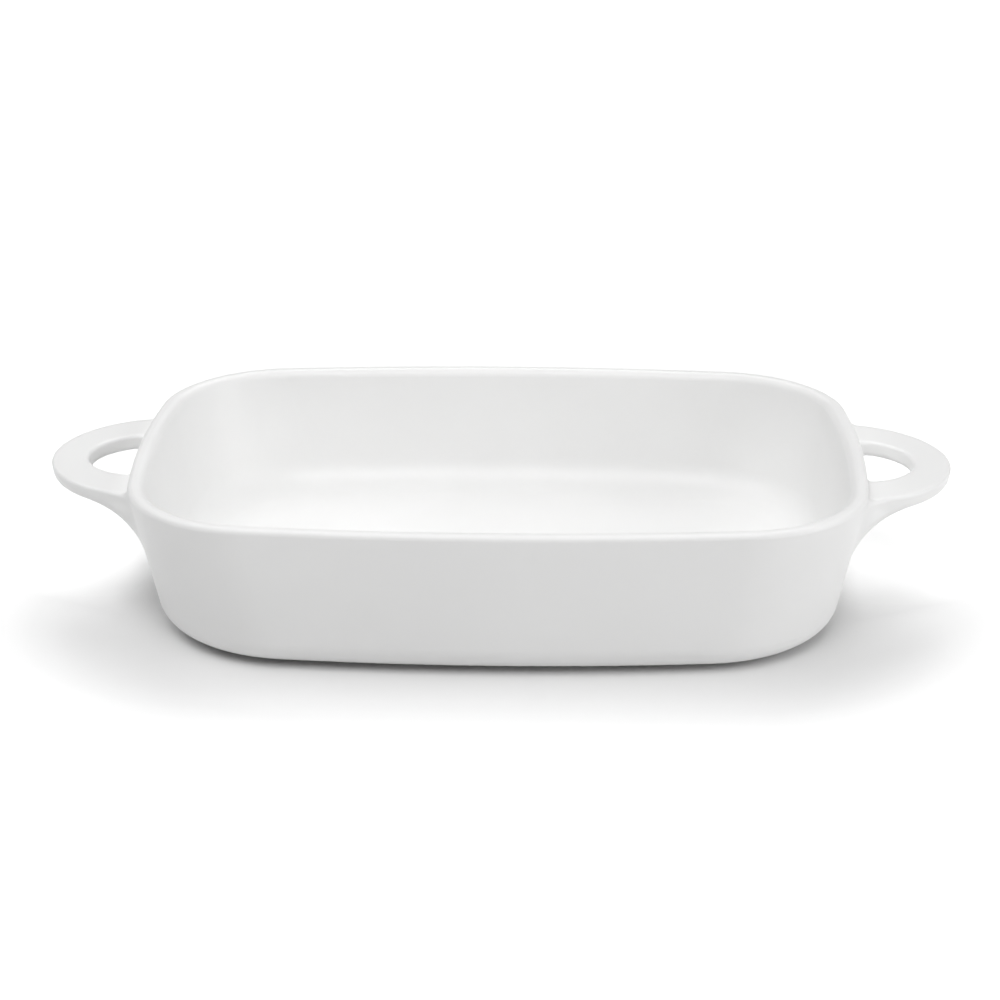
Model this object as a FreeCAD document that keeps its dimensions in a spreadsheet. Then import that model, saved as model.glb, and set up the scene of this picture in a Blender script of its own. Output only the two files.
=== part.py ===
import FreeCAD, Part
import math
import os
import Sketcher

# A white ceramic oven dish: a drafted basin with bowed sides, a low foot ring and two loop handles.
# Millimetres, +Z up, +X along the dish, origin on the table under the middle of the basin.

document = FreeCAD.newDocument("lasagna_dish")
sheet = document.addObject("Spreadsheet::Sheet", "Sizes")

# Driving sizes, all in millimetres.
driving_sizes = {
    # Rim outline: four bowed sides joined by round corners
    "rim_length": 330.0,
    "rim_width": 228.0,
    "rim_corner_radius": 60.0,
    "rim_long_side_radius": 1100.0,
    "rim_short_side_radius": 545.0,
    # Outline of the underside, before its edge is rounded: set in from the rim, with corners that turn as far
    "base_end_inset": 12.5,
    "base_side_inset": 10.0,
    "base_corner_radius": 66.0,
    "base_long_side_radius": 926.1,
    "base_short_side_radius": 401.1,
    # Basin section
    "dish_height": 69.0,
    "wall_thickness": 7.5,
    "floor_thickness": 10.0,
    "base_edge_radius": 13.0,
    "cove_radius": 17.0,
    "rim_outer_edge_radius": 2.0,
    "rim_inner_edge_radius": 4.0,
    # Foot ring
    "foot_height": 2.0,
    "foot_width": 8.0,
    "foot_setback": 4.0,
    "foot_edge_radius": 1.0,
    # Loop handles
    "handle_drop": 6.5,
    "handle_thickness": 7.0,
    "handle_reach": 40.0,
    "handle_outer_radius": 51.0,
    "finger_reach": 23.0,
    "finger_radius": 26.0,
    "handle_top_edge_radius": 1.5,
    "handle_under_edge_radius": 2.5,
    # Flared handle roots, which sink into the wall before they are cut to it
    "leg_flare_radius": 8.0,
    "finger_flare_radius": 6.0,
    "under_flare_radius": 26.0,
    "plan_flare_sink": 2.5,
    "under_flare_sink": 3.2,
    "root_depth": 8.0,
    # Overrun of every cut, and how near an edge must lie to a level to be picked there
    "cut_overrun": 10.0,
    "pick_reach": 0.01,
}
for row, (alias, number) in enumerate(driving_sizes.items(), start=1):
    sheet.set(f"A{row}", alias)
    sheet.set(f"B{row}", str(number))
    sheet.setAlias(f"B{row}", alias)
document.recompute()

# Places and sizes that follow from the driving ones, as expressions in the sheet's cells.
basin_height = "(Sizes.dish_height - Sizes.foot_height)"
cavity_depth = f"({basin_height} - Sizes.floor_thickness)"
rim_end = "Sizes.rim_length / 2"
rim_side = "Sizes.rim_width / 2"
slope = f"(Sizes.base_end_inset / {basin_height})"
draft = f"atan({slope})"
base_edge_run = f"Sizes.base_edge_radius * tan(45deg - {draft} / 2)"
foot_outer_inset = f"({base_edge_run} + Sizes.foot_setback)"
foot_inner_inset = f"({foot_outer_inset} + Sizes.foot_width)"
handle_top = "(Sizes.dish_height - Sizes.handle_drop)"
handle_underside = f"({handle_top} - Sizes.handle_thickness)"
handle_tip = f"({rim_end} + Sizes.handle_reach)"
outer_centre = f"{handle_tip} - Sizes.handle_outer_radius"
finger_centre = f"{rim_end} + Sizes.finger_reach - Sizes.finger_radius"
root_end = f"{rim_end} - Sizes.root_depth"
wall_centre_offset = f"Sizes.rim_short_side_radius - {rim_end}"
sunk_wall_radius = f"Sizes.rim_short_side_radius - Sizes.handle_drop * {slope} - Sizes.plan_flare_sink"
flare_level = f"({handle_underside} - Sizes.under_flare_radius)"
flare_foot = f"({flare_level} - Sizes.cut_overrun)"
flare_centre = (
    f"{rim_end} - (Sizes.dish_height - {flare_level}) * {slope}"
    f" + (Sizes.under_flare_radius - Sizes.under_flare_sink) / cos({draft})"
)
flare_foot_place = (
    f"{rim_end} - (Sizes.dish_height - {flare_foot}) * {slope} - Sizes.under_flare_sink / cos({draft})"
)
# The cut under a handle sweeps twice as far round the end wall as the handle itself.
handle_sweep = "2 * atan((Sizes.handle_outer_radius + Sizes.leg_flare_radius) / Sizes.rim_short_side_radius)"
under_sweep = f"2 * {handle_sweep}"

up = FreeCAD.Vector(0, 0, 1)
START, END, CENTRE = range(1, 4)
X_AXIS, Y_AXIS = range(-1, -3, -1)
ORIGIN = (X_AXIS, START)


def value(expression):
    """The present value of an expression in the sheet's sizes."""
    result = sheet.evalExpression(expression)
    return float(getattr(result, "Value", result))


def point(x, y):
    return FreeCAD.Vector(x, y, 0)


def flip(place, x_sign, y_sign):
    return point(place.x * x_sign, place.y * y_sign)


def towards(start, goal, distance):
    """The place at a distance from start, on the way to goal."""
    way = goal - start
    return start + way * (distance / way.Length)


def meeting_point(first, first_radius, second, second_radius):
    """Where two circles cross, on the left of the way from the first centre to the second."""
    way = second - first
    along = (way.Length**2 + first_radius**2 - second_radius**2) / (2 * way.Length)
    across = math.sqrt(first_radius**2 - along**2)
    unit = way / way.Length
    return first + unit * along + point(-unit.y, unit.x) * across


def arc(centre, first, last):
    """An arc, counter-clockwise from first to last."""
    start_angle = math.atan2(first.y - centre.y, first.x - centre.x)
    end_angle = math.atan2(last.y - centre.y, last.x - centre.x)
    circle = Part.Circle(centre, up, (first - centre).Length)
    return Part.ArcOfCircle(circle, start_angle, end_angle)


def new_body(name):
    return document.addObject("PartDesign::Body", name)


def new_sketch(body, name, plane_role, offset="0"):
    """A sketch on one of the body's own origin planes, moved along that plane's normal."""
    sketch = body.newObject("Sketcher::SketchObject", name)
    plane = next(feature for feature in body.Origin.OriginFeatures if feature.Role == plane_role)
    sketch.AttachmentSupport = (plane, [""])
    sketch.MapMode = "FlatFace"
    sketch.setExpression("AttachmentOffset.Base.z", offset)
    return sketch


def relate(sketch, kind, *places):
    sketch.addConstraint(Sketcher.Constraint(kind, *places))


def bind(sketch, kind, places, expression):
    """Adds a dimension to a sketch and ties it to the sheet."""
    index = sketch.addConstraint(Sketcher.Constraint(kind, *places, value(expression)))
    sketch.setExpression(f"Constraints[{index}]", expression)


def outline_radius(name, depth):
    """A radius of the basin's outline at a depth under the rim, between the rim's and the base's."""
    return f"(Sizes.rim_{name} + (Sizes.base_{name} - Sizes.rim_{name}) * {depth} / {basin_height})"


def basin_outline(sketch, depth, inset):
    """Draws the basin's outline at a depth, moved inwards: bowed sides and round corners, all tangent."""
    short_side_radius = f"({outline_radius('short_side_radius', depth)} - {inset})"
    long_side_radius = f"({outline_radius('long_side_radius', depth)} - {inset})"
    corner_radius = f"({outline_radius('corner_radius', depth)} - {inset})"
    half_length = f"({rim_end} - Sizes.base_end_inset * {depth} / {basin_height} - {inset})"
    half_width = f"({rim_side} - Sizes.base_side_inset * {depth} / {basin_height} - {inset})"
    end_offset = f"{short_side_radius} - {half_length}"
    side_offset = f"{long_side_radius} - {half_width}"

    end_centre = point(-value(end_offset), 0)
    side_centre = point(0, -value(side_offset))
    corner_centre = meeting_point(
        end_centre,
        value(f"{short_side_radius} - {corner_radius}"),
        side_centre,
        value(f"{long_side_radius} - {corner_radius}"),
    )
    end_stop = towards(corner_centre, end_centre, -value(corner_radius))
    side_stop = towards(corner_centre, side_centre, -value(corner_radius))
    first = sketch.GeometryCount
    for x_sign, y_sign in ((1, 1), (-1, 1), (-1, -1), (1, -1)):
        corner = flip(corner_centre, x_sign, y_sign)
        end_corner = flip(end_stop, x_sign, y_sign)
        side_corner = flip(side_stop, x_sign, y_sign)
        if x_sign == y_sign:
            end = flip(end_centre, x_sign, y_sign)
            sketch.addGeometry(arc(end, flip(end_corner, 1, -1), end_corner))
            sketch.addGeometry(arc(corner, end_corner, side_corner))
        else:
            side = flip(side_centre, x_sign, y_sign)
            sketch.addGeometry(arc(side, flip(side_corner, -1, 1), side_corner))
            sketch.addGeometry(arc(corner, side_corner, end_corner))

    ring = list(range(first, sketch.GeometryCount))
    right, rear_right, rear, rear_left, left, front_left, front, front_right = ring
    for this, following in zip(ring, ring[1:] + ring[:1]):
        relate(sketch, "Tangent", this, END, following, START)
    for side, axis in ((right, X_AXIS), (left, X_AXIS), (rear, Y_AXIS), (front, Y_AXIS)):
        relate(sketch, "PointOnObject", side, CENTRE, axis)
    relate(sketch, "Equal", right, left)
    relate(sketch, "Equal", rear, front)
    for corner in (rear_left, front_left, front_right):
        relate(sketch, "Equal", rear_right, corner)
    bind(sketch, "Radius", (right,), short_side_radius)
    bind(sketch, "Radius", (rear,), long_side_radius)
    bind(sketch, "Radius", (rear_right,), corner_radius)
    bind(sketch, "DistanceX", (right, CENTRE, *ORIGIN), end_offset)
    bind(sketch, "DistanceX", (*ORIGIN, left, CENTRE), end_offset)
    bind(sketch, "DistanceY", (rear, CENTRE, *ORIGIN), side_offset)
    bind(sketch, "DistanceY", (*ORIGIN, front, CENTRE), side_offset)


def handle_plan(sketch):
    """Draws the loop seen from above: two legs that flare at the wall, joined by a round bow."""
    wall = point(-value(wall_centre_offset), 0)
    outer = point(value(outer_centre), 0)
    finger = point(value(finger_centre), 0)
    wall_radius = value(sunk_wall_radius)
    outer_radius = value("Sizes.handle_outer_radius")
    finger_radius = value("Sizes.finger_radius")
    leg_flare = value("Sizes.leg_flare_radius")
    finger_flare = value("Sizes.finger_flare_radius")
    leg_centre = meeting_point(wall, wall_radius + leg_flare, outer, outer_radius + leg_flare)
    gap_centre = meeting_point(wall, wall_radius + finger_flare, finger, finger_radius - finger_flare)
    leg_bow = towards(outer, leg_centre, outer_radius)
    leg_root = towards(leg_centre, wall, leg_flare)
    gap_bow = towards(finger, gap_centre, finger_radius)
    gap_root = towards(gap_centre, wall, finger_flare)
    leg_back = point(value(root_end), leg_root.y)
    gap_back = point(value(root_end), gap_root.y)

    curves = [
        Part.LineSegment(flip(leg_back, 1, -1), flip(leg_root, 1, -1)),
        arc(flip(leg_centre, 1, -1), flip(leg_bow, 1, -1), flip(leg_root, 1, -1)),
        arc(outer, flip(leg_bow, 1, -1), leg_bow),
        arc(leg_centre, leg_root, leg_bow),
        Part.LineSegment(leg_root, leg_back),
        Part.LineSegment(leg_back, gap_back),
        Part.LineSegment(gap_back, gap_root),
        arc(gap_centre, gap_bow, gap_root),
        arc(finger, flip(gap_bow, 1, -1), gap_bow),
        arc(flip(gap_centre, 1, -1), flip(gap_root, 1, -1), flip(gap_bow, 1, -1)),
        Part.LineSegment(flip(gap_root, 1, -1), flip(gap_back, 1, -1)),
        Part.LineSegment(flip(gap_back, 1, -1), flip(leg_back, 1, -1)),
    ]
    (
        front_leg_in, front_leg_flare, bow, rear_leg_flare, rear_leg_in, rear_end,
        rear_gap_in, rear_gap_flare, gap_bow_arc, front_gap_flare, front_gap_in, front_end,
    ) = sketch.addGeometry(curves)
    wall_circle = sketch.addGeometry(Part.Circle(wall, up, wall_radius), True)

    for first, first_end, second, second_end in (
        (front_leg_in, END, front_leg_flare, END),
        (rear_leg_flare, START, rear_leg_in, START),
        (rear_leg_in, END, rear_end, START),
        (rear_end, END, rear_gap_in, START),
        (rear_gap_in, END, rear_gap_flare, END),
        (front_gap_flare, START, front_gap_in, START),
        (front_gap_in, END, front_end, START),
        (front_end, END, front_leg_in, START),
    ):
        relate(sketch, "Coincident", first, first_end, second, second_end)
    for first, first_end, second, second_end in (
        (front_leg_flare, START, bow, START),
        (bow, END, rear_leg_flare, END),
        (rear_gap_flare, START, gap_bow_arc, END),
        (gap_bow_arc, START, front_gap_flare, END),
    ):
        relate(sketch, "Tangent", first, first_end, second, second_end)
    for curve in (front_leg_in, rear_leg_in, rear_gap_in, front_gap_in):
        relate(sketch, "Horizontal", curve)
    for curve in (rear_end, front_end):
        relate(sketch, "Vertical", curve)
    for curve in (bow, gap_bow_arc, wall_circle):
        relate(sketch, "PointOnObject", curve, CENTRE, X_AXIS)
    for curve, root in (
        (front_leg_flare, END), (rear_leg_flare, START), (rear_gap_flare, END), (front_gap_flare, START),
    ):
        relate(sketch, "Tangent", curve, root, wall_circle)
    relate(sketch, "Equal", front_leg_flare, rear_leg_flare)
    relate(sketch, "Equal", front_gap_flare, rear_gap_flare)
    bind(sketch, "Radius", (front_leg_flare,), "Sizes.leg_flare_radius")
    bind(sketch, "Radius", (front_gap_flare,), "Sizes.finger_flare_radius")
    bind(sketch, "Radius", (bow,), "Sizes.handle_outer_radius")
    bind(sketch, "Radius", (gap_bow_arc,), "Sizes.finger_radius")
    bind(sketch, "Radius", (wall_circle,), sunk_wall_radius)
    bind(sketch, "DistanceX", (*ORIGIN, bow, CENTRE), outer_centre)
    bind(sketch, "DistanceX", (*ORIGIN, gap_bow_arc, CENTRE), finger_centre)
    bind(sketch, "DistanceX", (wall_circle, CENTRE, *ORIGIN), wall_centre_offset)
    bind(sketch, "DistanceX", (*ORIGIN, rear_end, START), root_end)
    bind(sketch, "DistanceX", (*ORIGIN, front_end, START), root_end)


def handle_under_profile(sketch):
    """Draws what is taken away under the loop: flat at the bow, then a flare down the wall."""
    outside = f"{handle_tip} + Sizes.cut_overrun"
    flare = point(value(flare_centre), value(flare_level))
    outer_top = point(value(outside), value(handle_underside))
    flare_top = point(flare.x, outer_top.y)
    foot = point(value(flare_foot_place), value(flare_foot))
    outer_foot = point(outer_top.x, foot.y)
    radius = value("Sizes.under_flare_radius")
    lean = math.atan(value(slope))
    flare_root = flare + point(-math.cos(lean), math.sin(lean)) * radius
    axis_foot = point(-value(wall_centre_offset), 0)
    curves = [
        Part.LineSegment(outer_top, flare_top),
        arc(flare, flare_top, flare_root),
        Part.LineSegment(flare_root, foot),
        Part.LineSegment(foot, outer_foot),
        Part.LineSegment(outer_foot, outer_top),
    ]
    underside, flare_arc, wall_line, bottom, outer_side = sketch.addGeometry(curves)
    axis = sketch.addGeometry(Part.LineSegment(axis_foot, axis_foot + point(0, foot.y)), True)
    relate(sketch, "Tangent", underside, END, flare_arc, START)
    relate(sketch, "Tangent", flare_arc, END, wall_line, START)
    relate(sketch, "Coincident", wall_line, END, bottom, START)
    relate(sketch, "Coincident", bottom, END, outer_side, START)
    relate(sketch, "Coincident", outer_side, END, underside, START)
    for curve in (underside, bottom):
        relate(sketch, "Horizontal", curve)
    for curve in (outer_side, axis):
        relate(sketch, "Vertical", curve)
    relate(sketch, "PointOnObject", axis, START, X_AXIS)
    bind(sketch, "DistanceX", (axis, START, *ORIGIN), wall_centre_offset)
    bind(sketch, "DistanceY", (axis, START, axis, END), flare_foot)
    bind(sketch, "Radius", (flare_arc,), "Sizes.under_flare_radius")
    bind(sketch, "DistanceX", (*ORIGIN, flare_arc, CENTRE), flare_centre)
    bind(sketch, "DistanceX", (*ORIGIN, underside, START), outside)
    bind(sketch, "DistanceY", (*ORIGIN, underside, START), handle_underside)
    bind(sketch, "DistanceX", (*ORIGIN, wall_line, END), flare_foot_place)
    bind(sketch, "DistanceY", (*ORIGIN, wall_line, END), flare_foot)


def edges_at(feature, level):
    """Names of the edges that lie flat at a level."""
    reach = value("Sizes.pick_reach")
    height = value(level)
    return [
        f"Edge{number}"
        for number, edge in enumerate(feature.Shape.Edges, start=1)
        if abs(edge.BoundBox.ZMin - height) < reach and abs(edge.BoundBox.ZMax - height) < reach
    ]


def opening_edges(feature, level):
    """Names of the edges round the opening in the flat face at a level."""
    flat_edges = edges_at(feature, level)
    faces = [face for face in feature.Shape.Faces if len(face.Wires) > 1]
    rings = [wire for face in faces for wire in face.Wires if not wire.isSame(face.OuterWire)]
    inner = [edge for ring in rings for edge in ring.Edges]
    return [name for name in flat_edges if any(edge.isSame(feature.Shape.getElement(name)) for edge in inner)]


def bow_edges(feature, level):
    """Names of the round edges at a level."""
    return [name for name in edges_at(feature, level) if is_kind(feature, name, "Part::GeomCircle")]


def flared_edges(feature):
    """Names of the edges where the loop's sides meet its flared underside."""
    reach = value("Sizes.pick_reach")
    return [
        f"Edge{number}"
        for number, edge in enumerate(feature.Shape.Edges, start=1)
        if edge.Curve.TypeId == "Part::GeomBSplineCurve" and edge.BoundBox.YLength > reach
    ]


def is_kind(feature, edge_name, kind):
    return feature.Shape.getElement(edge_name).Curve.TypeId == kind


def round_edges(body, name, base, edges, radius):
    fillet = body.newObject("PartDesign::Fillet", name)
    fillet.Base = (base, edges)
    fillet.setExpression("Radius", radius)
    document.recompute()
    return fillet


def tapered_loft(body, kind, name, depth, inset):
    """Adds or takes away a block that narrows from the rim down to a depth, moved inwards by inset."""
    sketches = []
    for end, level in (("top", "0"), ("bottom", depth)):
        sketch = new_sketch(body, f"{name}_{end}", "XY_Plane", f"Sizes.dish_height - {level}")
        basin_outline(sketch, level, inset)
        sketches.append(sketch)
    loft = body.newObject(kind, name)
    loft.Profile = sketches[0]
    loft.Sections = sketches[1:]
    loft.Ruled = True
    document.recompute()
    return loft


def make_basin():
    body = new_body("basin")
    block = tapered_loft(body, "PartDesign::AdditiveLoft", "basin_block", basin_height, "0")
    lower = round_edges(
        body, "base_edge", block, edges_at(block, "Sizes.foot_height"), "Sizes.base_edge_radius"
    )
    upper_edges = edges_at(lower, "Sizes.dish_height")
    round_edges(body, "rim_outer_edge", lower, upper_edges, "Sizes.rim_outer_edge_radius")
    cavity = tapered_loft(
        body, "PartDesign::SubtractiveLoft", "cavity", cavity_depth, "Sizes.wall_thickness"
    )
    floor_level = f"Sizes.dish_height - {cavity_depth}"
    coved = round_edges(body, "cove", cavity, edges_at(cavity, floor_level), "Sizes.cove_radius")
    opening = opening_edges(coved, "Sizes.dish_height")
    round_edges(body, "rim_inner_edge", coved, opening, "Sizes.rim_inner_edge_radius")
    return body


def make_foot_ring():
    body = new_body("foot_ring")
    sketch = new_sketch(body, "foot_outline", "XY_Plane")
    basin_outline(sketch, basin_height, foot_outer_inset)
    basin_outline(sketch, basin_height, foot_inner_inset)
    ring = body.newObject("PartDesign::Pad", "foot_block")
    ring.Profile = sketch
    ring.setExpression("Length", "Sizes.foot_height")
    document.recompute()
    round_edges(body, "foot_edges", ring, edges_at(ring, "0"), "Sizes.foot_edge_radius")
    return body


def make_handle(name, turn, envelope):
    """A loop whose legs run into the end wall, turned to its own end of the dish and cut to the wall."""
    body = new_body(f"{name}_blank")
    plan = new_sketch(body, f"{name}_plan", "XY_Plane", handle_top)
    handle_plan(plan)
    loop = body.newObject("PartDesign::Pad", f"{name}_loop")
    loop.Profile = plan
    loop.UseCustomVector = True
    loop.Direction = -up
    loop.setExpression("Direction.x", f"-{slope}")
    loop.setExpression("Length", "Sizes.handle_thickness + Sizes.under_flare_radius")
    document.recompute()
    profile = new_sketch(body, f"{name}_under_profile", "XZ_Plane")
    handle_under_profile(profile)
    hollow = body.newObject("PartDesign::Groove", f"{name}_underside")
    hollow.Profile = profile
    hollow.ReferenceAxis = (profile, ["Axis0"])
    hollow.Midplane = True
    hollow.setExpression("Angle", under_sweep)
    document.recompute()
    lower = round_edges(
        body, f"{name}_under_edges", hollow, flared_edges(hollow), "Sizes.handle_under_edge_radius"
    )
    round_edges(
        body, f"{name}_top_edges", lower, bow_edges(lower, handle_top), "Sizes.handle_top_edge_radius"
    )
    body.Placement = FreeCAD.Placement(FreeCAD.Vector(), FreeCAD.Rotation(up, turn))
    handle = document.addObject("Part::Cut", name)
    handle.Base = body
    handle.Tool = envelope
    return handle


basin = make_basin()
foot_ring = make_foot_ring()
basin_envelope = new_body("basin_envelope")
tapered_loft(basin_envelope, "PartDesign::AdditiveLoft", "envelope_block", basin_height, "0")
sub_parts = [
    basin,
    foot_ring,
    make_handle("right_handle", 0, basin_envelope),
    make_handle("left_handle", 180, basin_envelope),
]
document.recompute()

faulty = [thing.Name for thing in document.Objects if {"Invalid", "Error"} & set(thing.State)]
if faulty:
    raise RuntimeError(f"failed objects: {faulty}")
for sub_part in sub_parts:
    if sub_part.Shape.isNull() or not sub_part.Shape.isValid():
        raise RuntimeError(f"bad shape: {sub_part.Label}")

os.makedirs("parts", exist_ok=True)
for sub_part in sub_parts:
    sub_part.Shape.exportStep(f"parts/{sub_part.Label}.step")
    box = sub_part.Shape.optimalBoundingBox()
    print(sub_part.Label, len(sub_part.Shape.Solids), round(sub_part.Shape.Volume), box)
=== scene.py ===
import math

import bmesh
import bpy
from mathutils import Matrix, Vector
from mathutils.bvhtree import BVHTree


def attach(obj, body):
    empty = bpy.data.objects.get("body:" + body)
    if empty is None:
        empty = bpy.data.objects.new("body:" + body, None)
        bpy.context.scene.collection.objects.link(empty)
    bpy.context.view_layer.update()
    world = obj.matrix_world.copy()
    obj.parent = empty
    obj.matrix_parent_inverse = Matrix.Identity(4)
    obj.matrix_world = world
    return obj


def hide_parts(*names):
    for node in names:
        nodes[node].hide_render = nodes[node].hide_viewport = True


# A white ceramic oven dish on a pale floor. Metres, +Z up, origin on the table under the dish.

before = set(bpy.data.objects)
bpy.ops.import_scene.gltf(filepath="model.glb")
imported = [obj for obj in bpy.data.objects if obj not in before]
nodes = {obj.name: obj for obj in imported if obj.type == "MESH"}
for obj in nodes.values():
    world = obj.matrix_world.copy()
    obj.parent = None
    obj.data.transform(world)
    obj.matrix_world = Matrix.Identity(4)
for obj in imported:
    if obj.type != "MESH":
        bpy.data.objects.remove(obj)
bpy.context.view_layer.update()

MM = 0.001

# The basin's end wall and the loop handles, with the sizes that the solids have.
rim_end = 165 * MM
rim_height = 69 * MM
wall_bow_radius = 545 * MM
wall_height = 67 * MM
wall_inset = 12.5 * MM
wall_slope = wall_inset / wall_height
handle_top = 62.5 * MM
handle_thickness = 7 * MM
outer_radius = 51 * MM
outer_centre = 153.9 * MM
finger_radius = 26 * MM
finger_centre = 162 * MM
top_edge_radius = 1.5 * MM
under_edge_radius = 2.5 * MM

# Flares where a leg runs into the wall, and how deep its last ring lies in the wall.
top_flare = 2 * MM
outer_flare = 11 * MM
inner_flare = 7 * MM
under_inner_flare = 9 * MM
under_outer_flare = 24 * MM
root_sink = 0.1 * MM
# Where the bow ends and the legs start, and how near the wall a leg follows the wall's true face.
leg_start = 175 * MM
wall_hold = 20 * MM
# A place well outside the dish, from which the wall is looked for.
ray_start = 300 * MM

# Points of a ring and stations along a handle. The shares close up towards the wall.
flat_steps = 10
side_steps = 5
corner_steps = 5
bow_steps = 64
leg_shares = (0.82, 0.66, 0.52, 0.4, 0.3, 0.22, 0.155, 0.105, 0.068, 0.042, 0.024, 0.012, 0.005, 0.0015, 0)


def wall_at_top(y):
    """Where the end wall stands at the height of the handle's top."""
    level = rim_end - (rim_height - handle_top) * wall_slope
    return level - wall_bow_radius + math.sqrt(wall_bow_radius**2 - y**2)


def flare_offset(distance, radius):
    """How far a flare of a radius has spread at a distance from the wall."""
    if distance >= radius:
        return 0
    return radius - math.sqrt(radius**2 - (radius - max(distance, 0)) ** 2)


def section_ring(width, thickness):
    """A rounded section as (across, up, outward across, outward up), from the inner top edge round."""
    ring = []

    def line(start, end, normal, steps):
        for step in range(1, steps):
            share = step / steps
            across = start[0] + (end[0] - start[0]) * share
            up = start[1] + (end[1] - start[1]) * share
            ring.append((across, up, *normal))

    def corner(centre, radius, first_angle):
        for step in range(corner_steps + 1):
            angle = math.radians(first_angle - 90 * step / corner_steps)
            normal = (math.cos(angle), math.sin(angle))
            ring.append((centre[0] + radius * normal[0], centre[1] + radius * normal[1], *normal))

    top, under = top_edge_radius, under_edge_radius
    line((top, 0), (width - top, 0), (0, 1), flat_steps)
    corner((width - top, -top), top, 90)
    line((width, -top), (width, under - thickness), (1, 0), side_steps)
    corner((width - under, under - thickness), under, 0)
    line((width - under, -thickness), (under, -thickness), (0, -1), flat_steps)
    corner((under, under - thickness), under, -90)
    line((0, under - thickness), (0, -top), (-1, 0), side_steps)
    corner((top, -top), top, -180)
    return ring


def under_flare(share):
    """The radius of the underside's flare at a share of a leg's width, from its inner to its outer side."""
    return under_inner_flare + (under_outer_flare - under_inner_flare) * share


def flare_radius(share, across, up):
    """The flare's radius for a way outwards, between those of the top, the sides and the underside."""
    side = outer_flare if across > 0 else inner_flare
    upright = top_flare if up > 0 else under_flare(share)
    return side * across**2 + upright * up**2


def settle(wall_tree, x_top, y, z):
    """A point that leans with the wall, and follows the wall's true face when it is near."""
    lean = (handle_top - z) * wall_slope
    distance = x_top - wall_at_top(y)
    hit = wall_tree.ray_cast(Vector((ray_start, y, z)), Vector((-1, 0, 0)))[0]
    miss = hit.x - (wall_at_top(y) - lean)
    share = min(max(1 - distance / wall_hold, 0), 1)
    return Vector((x_top - lean + miss * share, y, z))


def bow_ring(wall_tree, outer, inner):
    """The points round the bow between a place on its outer side and one on its inner side."""
    width = (outer - inner).length
    way = (outer - inner) / width
    points = []
    for across, up, _, normal_up in section_ring(width, handle_thickness):
        place = inner + way * across
        reach = place.x - wall_at_top(place.y)
        drop = flare_offset(reach, under_flare(across / width)) * min(normal_up, 0)
        points.append(settle(wall_tree, place.x, place.y, handle_top + up + drop))
    return points


def leg_ring(wall_tree, outer, inner, share):
    """The points round a leg at a share of its length from the wall, with the flares."""
    side = math.copysign(1, outer.y)
    width = abs(outer.y - inner.y)
    points = []
    for across, up, normal_across, normal_up in section_ring(width, handle_thickness):
        y = inner.y + side * across
        distance = (leg_start - wall_at_top(y)) * share
        spread = flare_offset(distance, flare_radius(across / width, normal_across, normal_up))
        y += side * normal_across * spread
        z = handle_top + up + normal_up * spread
        sink = 0 if share else root_sink
        points.append(settle(wall_tree, wall_at_top(y) + distance - sink, y, z))
    return points


def handle_rings(wall_tree):
    """Rings of points along the right handle, from its front root round the bow to its rear root."""
    sides = ((outer_centre, outer_radius), (finger_centre, finger_radius))

    bow = []
    for step in range(-bow_steps, bow_steps + 1):
        ends = []
        for centre, radius in sides:
            angle = math.acos((leg_start - centre) / radius) * step / bow_steps
            ends.append(Vector((centre + radius * math.cos(angle), radius * math.sin(angle))))
        bow.append(bow_ring(wall_tree, *ends))

    front_leg = []
    rear_leg = []
    for share in leg_shares:
        ends = []
        for centre, radius in sides:
            root = wall_at_top(math.sqrt(radius**2 - (leg_start - centre) ** 2))
            x = root + (leg_start - root) * share
            ends.append(Vector((x, math.sqrt(radius**2 - (x - centre) ** 2))))
        rear_leg.append(leg_ring(wall_tree, *ends, share))
        front_leg.append(leg_ring(wall_tree, *(Vector((end.x, -end.y)) for end in ends), share))
    return front_leg[::-1] + bow + rear_leg


def add_object(name, data):
    piece = bpy.data.objects.new(name, data)
    bpy.context.scene.collection.objects.link(piece)
    return piece


def make_handle(name, turn, rings):
    """A handle from its rings, turned about the dish's upright axis, with a closed face in each root."""
    mesh = bpy.data.meshes.new(name)
    builder = bmesh.new()
    loops = [[builder.verts.new((p.x * turn, p.y * turn, p.z)) for p in ring] for ring in rings]
    for first, second in zip(loops, loops[1:]):
        for index in range(len(first)):
            after = (index + 1) % len(first)
            face = builder.faces.new((first[index], first[after], second[after], second[index]))
            face.smooth = True
    for loop in (loops[0], loops[-1]):
        cap = builder.faces.new(loop)
        for edge in cap.edges:
            edge.smooth = False
    bmesh.ops.recalc_face_normals(builder, faces=builder.faces)
    builder.to_mesh(mesh)
    builder.free()
    return add_object(name, mesh)


basin = nodes["basin"]
basin_tree = BVHTree.FromPolygons(
    [vertex.co for vertex in basin.data.vertices], [face.vertices for face in basin.data.polygons]
)
rings = handle_rings(basin_tree)
right_handle = make_handle("right_handle_blended", 1, rings)
left_handle = make_handle("left_handle_blended", -1, rings)
for handle, node in ((right_handle, "right_handle"), (left_handle, "left_handle")):
    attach(handle, "root")
    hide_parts(node)


def new_material(name):
    material = bpy.data.materials.new(name)
    material.use_nodes = True
    tree = material.node_tree
    shader = next(node for node in tree.nodes if node.type == "BSDF_PRINCIPLED")
    return material, tree, shader


def add_noise(tree, coordinates, scale, detail):
    noise = tree.nodes.new("ShaderNodeTexNoise")
    noise.inputs["Scale"].default_value = scale
    noise.inputs["Detail"].default_value = detail
    tree.links.new(coordinates.outputs["Object"], noise.inputs["Vector"])
    return noise.outputs["Fac"]


def add_ramp(tree, source, shares, colours):
    ramp = tree.nodes.new("ShaderNodeValToRGB")
    for element, share, colour in zip(ramp.color_ramp.elements, shares, colours):
        element.position = share
        element.color = (*colour, 1)
    tree.links.new(source, ramp.inputs["Fac"])
    return ramp.outputs["Color"]


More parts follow.
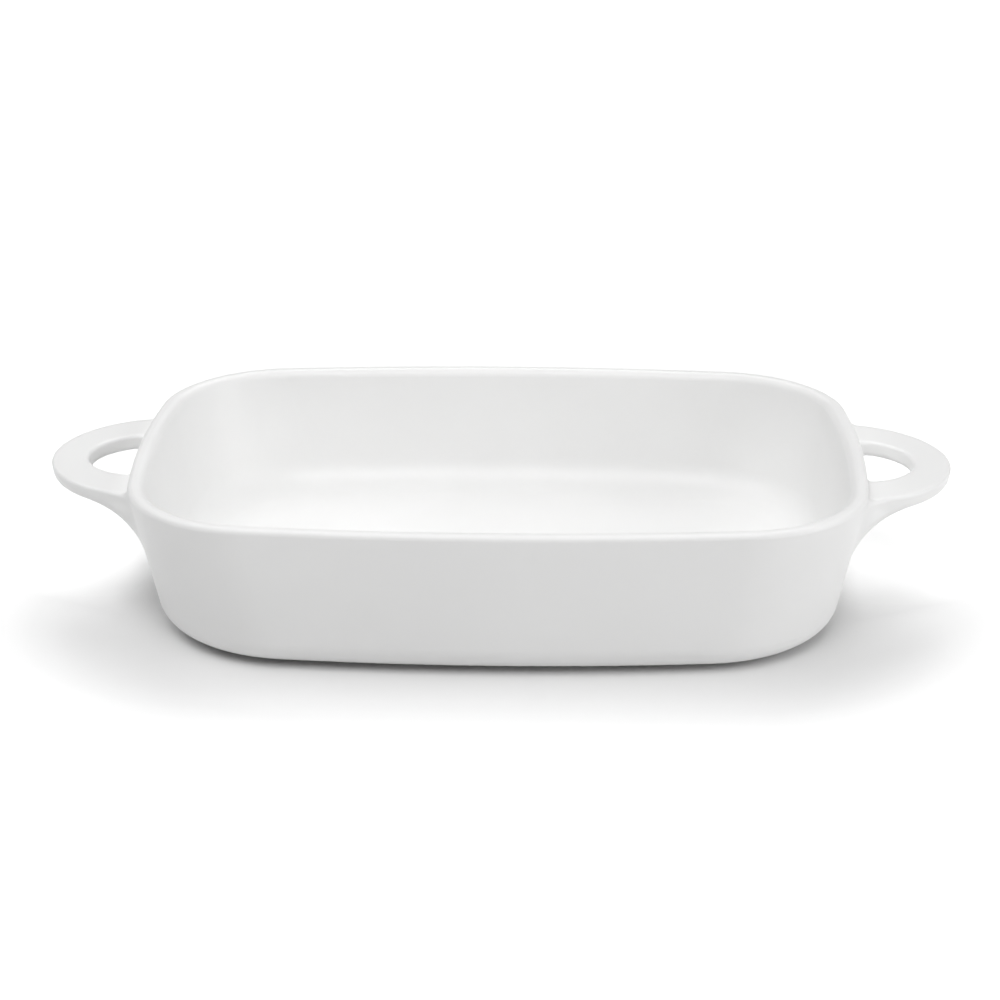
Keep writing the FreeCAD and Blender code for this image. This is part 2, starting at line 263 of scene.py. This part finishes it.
def add_range(tree, source, low, high):
    spread = tree.nodes.new("ShaderNodeMapRange")
    spread.inputs["To Min"].default_value = low
    spread.inputs["To Max"].default_value = high
    tree.links.new(source, spread.inputs["Value"])
    return spread


def add_bump(tree, source, strength, depth):
    bump = tree.nodes.new("ShaderNodeBump")
    bump.inputs["Strength"].default_value = strength
    bump.inputs["Distance"].default_value = depth
    tree.links.new(source, bump.inputs["Height"])
    return bump.outputs["Normal"]


# Glaze: its two tones, their share in the clouds, its gloss and its ripple.
glaze_tones = ((0.9, 0.9, 0.896), (0.925, 0.925, 0.921))
cloud_scale = 14
cloud_detail = 3
cloud_shares = (0.3, 0.7)
glaze_roughness = (0.3, 0.42)
glaze_specular = 0.35
ripple_scale = 90
ripple_detail = 2
ripple_strength = 0.15
ripple_depth = 0.2 * MM

# Bare clay: the tones of its specks and its body, its grain and its dry, worn patches.
clay_tones = ((0.55, 0.5, 0.43), (0.78, 0.75, 0.69))
speck_scale = 900
speck_detail = 2
speck_shares = (0.32, 0.48)
grain_strength = 0.4
grain_depth = 0.15 * MM
wear_scale = 60
wear_detail = 3
clay_roughness = (0.75, 0.95)


def make_glaze():
    """White glaze: faint clouds in its tone, a soft gloss and the slight ripple of a fired surface."""
    material, tree, shader = new_material("white_glaze")
    coordinates = tree.nodes.new("ShaderNodeTexCoord")
    clouds = add_noise(tree, coordinates, cloud_scale, cloud_detail)
    tone = add_ramp(tree, clouds, cloud_shares, glaze_tones)
    tree.links.new(tone, shader.inputs["Base Color"])
    gloss = add_range(tree, clouds, *glaze_roughness)
    tree.links.new(gloss.outputs["Result"], shader.inputs["Roughness"])
    ripple = add_noise(tree, coordinates, ripple_scale, ripple_detail)
    tree.links.new(add_bump(tree, ripple, ripple_strength, ripple_depth), shader.inputs["Normal"])
    shader.inputs["Specular IOR Level"].default_value = glaze_specular
    return material


def make_bisque():
    """Bare fired clay: warm off-white with dark specks, matte and grainy."""
    material, tree, shader = new_material("bare_foot")
    coordinates = tree.nodes.new("ShaderNodeTexCoord")
    specks = add_noise(tree, coordinates, speck_scale, speck_detail)
    tone = add_ramp(tree, specks, speck_shares, clay_tones)
    tree.links.new(tone, shader.inputs["Base Color"])
    tree.links.new(add_bump(tree, specks, grain_strength, grain_depth), shader.inputs["Normal"])
    wear = add_noise(tree, coordinates, wear_scale, wear_detail)
    dryness = add_range(tree, wear, *clay_roughness)
    tree.links.new(dryness.outputs["Result"], shader.inputs["Roughness"])
    return material


def dress(piece, material):
    piece.data.materials.clear()
    piece.data.materials.append(material)


glaze = make_glaze()
for piece in (basin, right_handle, left_handle):
    dress(piece, glaze)
dress(nodes["foot_ring"], make_bisque())

# Floor: a wide pale sheet that keeps the dish's soft shadow near the dish; outside of it, a painted glow,
# seen only by camera and glossy rays, shows it as plain white and paints where the shadow fades out.
floor_half = 6.0
floor_tone = 0.8
floor_roughness = 0.9
white = (1, 1, 1, 1)
# The painted white glow starts on a long oval round the dish and beside the rear half of its ends, so the
# shadow's outer edge there is painted, and it grows once more far away, where the lamps are weak. Distances
# are taken from a rectangle under the dish.
core_middle = (-0.006, 0, 0)
core_half = (0.118, 0.05, 0)
oval_start = 0.04
oval_end = 0.12
oval_lift = 0.3
rear_start = -0.045
rear_end = 0.01
rear_lift = 0.43
beside_start = 0.029
beside_end = 0.057
far_start = 0.3
far_end = 1.1
far_lift = 0.55


def add_lift(tree, distance, start, end, height=1):
    """A smooth step over a distance, up to a height."""
    lift = add_range(tree, distance, 0, height)
    lift.interpolation_type = "SMOOTHSTEP"
    lift.inputs["From Min"].default_value = start
    lift.inputs["From Max"].default_value = end
    return lift.outputs["Result"]


def add_math(tree, operation, first, second):
    node = tree.nodes.new("ShaderNodeMath")
    node.operation = operation
    tree.links.new(first, node.inputs[0])
    tree.links.new(second, node.inputs[1])
    return node.outputs["Value"]


def add_vector_math(tree, operation, first, second=(0, 0, 0)):
    node = tree.nodes.new("ShaderNodeVectorMath")
    node.operation = operation
    tree.links.new(first, node.inputs[0])
    node.inputs[1].default_value = second
    return next(output for output in node.outputs if output.enabled)


def add_split(tree, vector):
    split = tree.nodes.new("ShaderNodeSeparateXYZ")
    tree.links.new(vector, split.inputs["Vector"])
    return split.outputs


def make_floor():
    mesh = bpy.data.meshes.new("floor")
    corners = [(-floor_half, -floor_half, 0), (floor_half, -floor_half, 0),
               (floor_half, floor_half, 0), (-floor_half, floor_half, 0)]
    mesh.from_pydata(corners, [], [range(len(corners))])
    floor = add_object("floor", mesh)

    material, tree, shader = new_material("pale_floor")
    shader.inputs["Base Color"].default_value = (floor_tone, floor_tone, floor_tone, 1)
    shader.inputs["Roughness"].default_value = floor_roughness
    shader.inputs["Specular IOR Level"].default_value = 0
    shader.inputs["Emission Color"].default_value = white
    coordinates = tree.nodes.new("ShaderNodeTexCoord")
    place = add_vector_math(tree, "SUBTRACT", coordinates.outputs["Object"], core_middle)
    past_core = add_vector_math(tree, "SUBTRACT", add_vector_math(tree, "ABSOLUTE", place), core_half)
    past_core = add_vector_math(tree, "MAXIMUM", past_core)
    distance = add_vector_math(tree, "LENGTH", past_core)
    oval = add_lift(tree, distance, oval_start, oval_end, oval_lift)
    rear = add_lift(tree, add_split(tree, place)["Y"], rear_start, rear_end, rear_lift)
    beside = add_lift(tree, add_split(tree, past_core)["X"], beside_start, beside_end)
    rear = add_math(tree, "MULTIPLY", rear, beside)
    far = add_lift(tree, distance, far_start, far_end, far_lift)
    # Painted light: this glow whitens the floor for camera and glossy rays and sets the painted outer fade
    # of the dish's shadow.
    lift = add_math(tree, "ADD", add_math(tree, "MAXIMUM", oval, rear), far)
    path = tree.nodes.new("ShaderNodeLightPath")
    seen = path.outputs["Is Camera Ray"]
    for ray in ("Is Glossy Ray", "Is Transmission Ray"):
        seen = add_math(tree, "MAXIMUM", seen, path.outputs[ray])
    strength = add_math(tree, "MULTIPLY", seen, lift)
    tree.links.new(strength, shader.inputs["Emission Strength"])
    dress(floor, material)


make_floor()


def add_softbox(name, place, aim, size, power):
    """A square soft lamp that faces a point."""
    lamp = bpy.data.lights.new(name, "AREA")
    lamp.shape = "SQUARE"
    lamp.size = size
    lamp.energy = power
    holder = add_object(name, lamp)
    holder.location = place
    holder.rotation_euler = (aim - place).to_track_quat("-Z", "Y").to_euler()


# Lamps: where each one stands, its width and its power.
lamps = {
    "front_top": ((0, -1.2, 2.0), 1.4, 26),
    "rear_top": ((0, 1.4, 1.8), 1.4, 15),
    "left_top": ((-1.3, 0, 1.7), 1.4, 12.5),
    "right_fill": ((1.9, -0.5, 0.6), 1.2, 14.5),
}
dish_middle = Vector((0, 0, rim_height / 2))
for name, (place, width, power) in lamps.items():
    add_softbox(name, Vector(place), dish_middle, width, power)

ambient_strength = 0.12
world = bpy.data.worlds.new("studio")
world.use_nodes = True
background = next(node for node in world.node_tree.nodes if node.type == "BACKGROUND")
background.inputs["Color"].default_value = white
background.inputs["Strength"].default_value = ambient_strength
bpy.context.scene.world = world

# Camera at the photograph's angle: it looks at the middle of the rim from a little right of the front.
view_azimuth = math.radians(1.5)
view_elevation = math.radians(20)
view_drop = math.radians(1.22)
view_distance = 1.2
sensor_width = 36
lens_length = 94.8


def make_camera():
    data = bpy.data.cameras.new("camera")
    data.sensor_width = sensor_width
    data.lens = lens_length
    camera = add_object("camera", data)
    reach = view_distance * math.cos(view_elevation)
    camera.location = (
        reach * math.sin(view_azimuth),
        -reach * math.cos(view_azimuth),
        rim_height + view_distance * math.sin(view_elevation),
    )
    camera.rotation_euler = (math.pi / 2 - view_elevation - view_drop, 0, view_azimuth)
    bpy.context.scene.camera = camera


make_camera()
bpy.context.scene.view_settings.view_transform = "Standard"
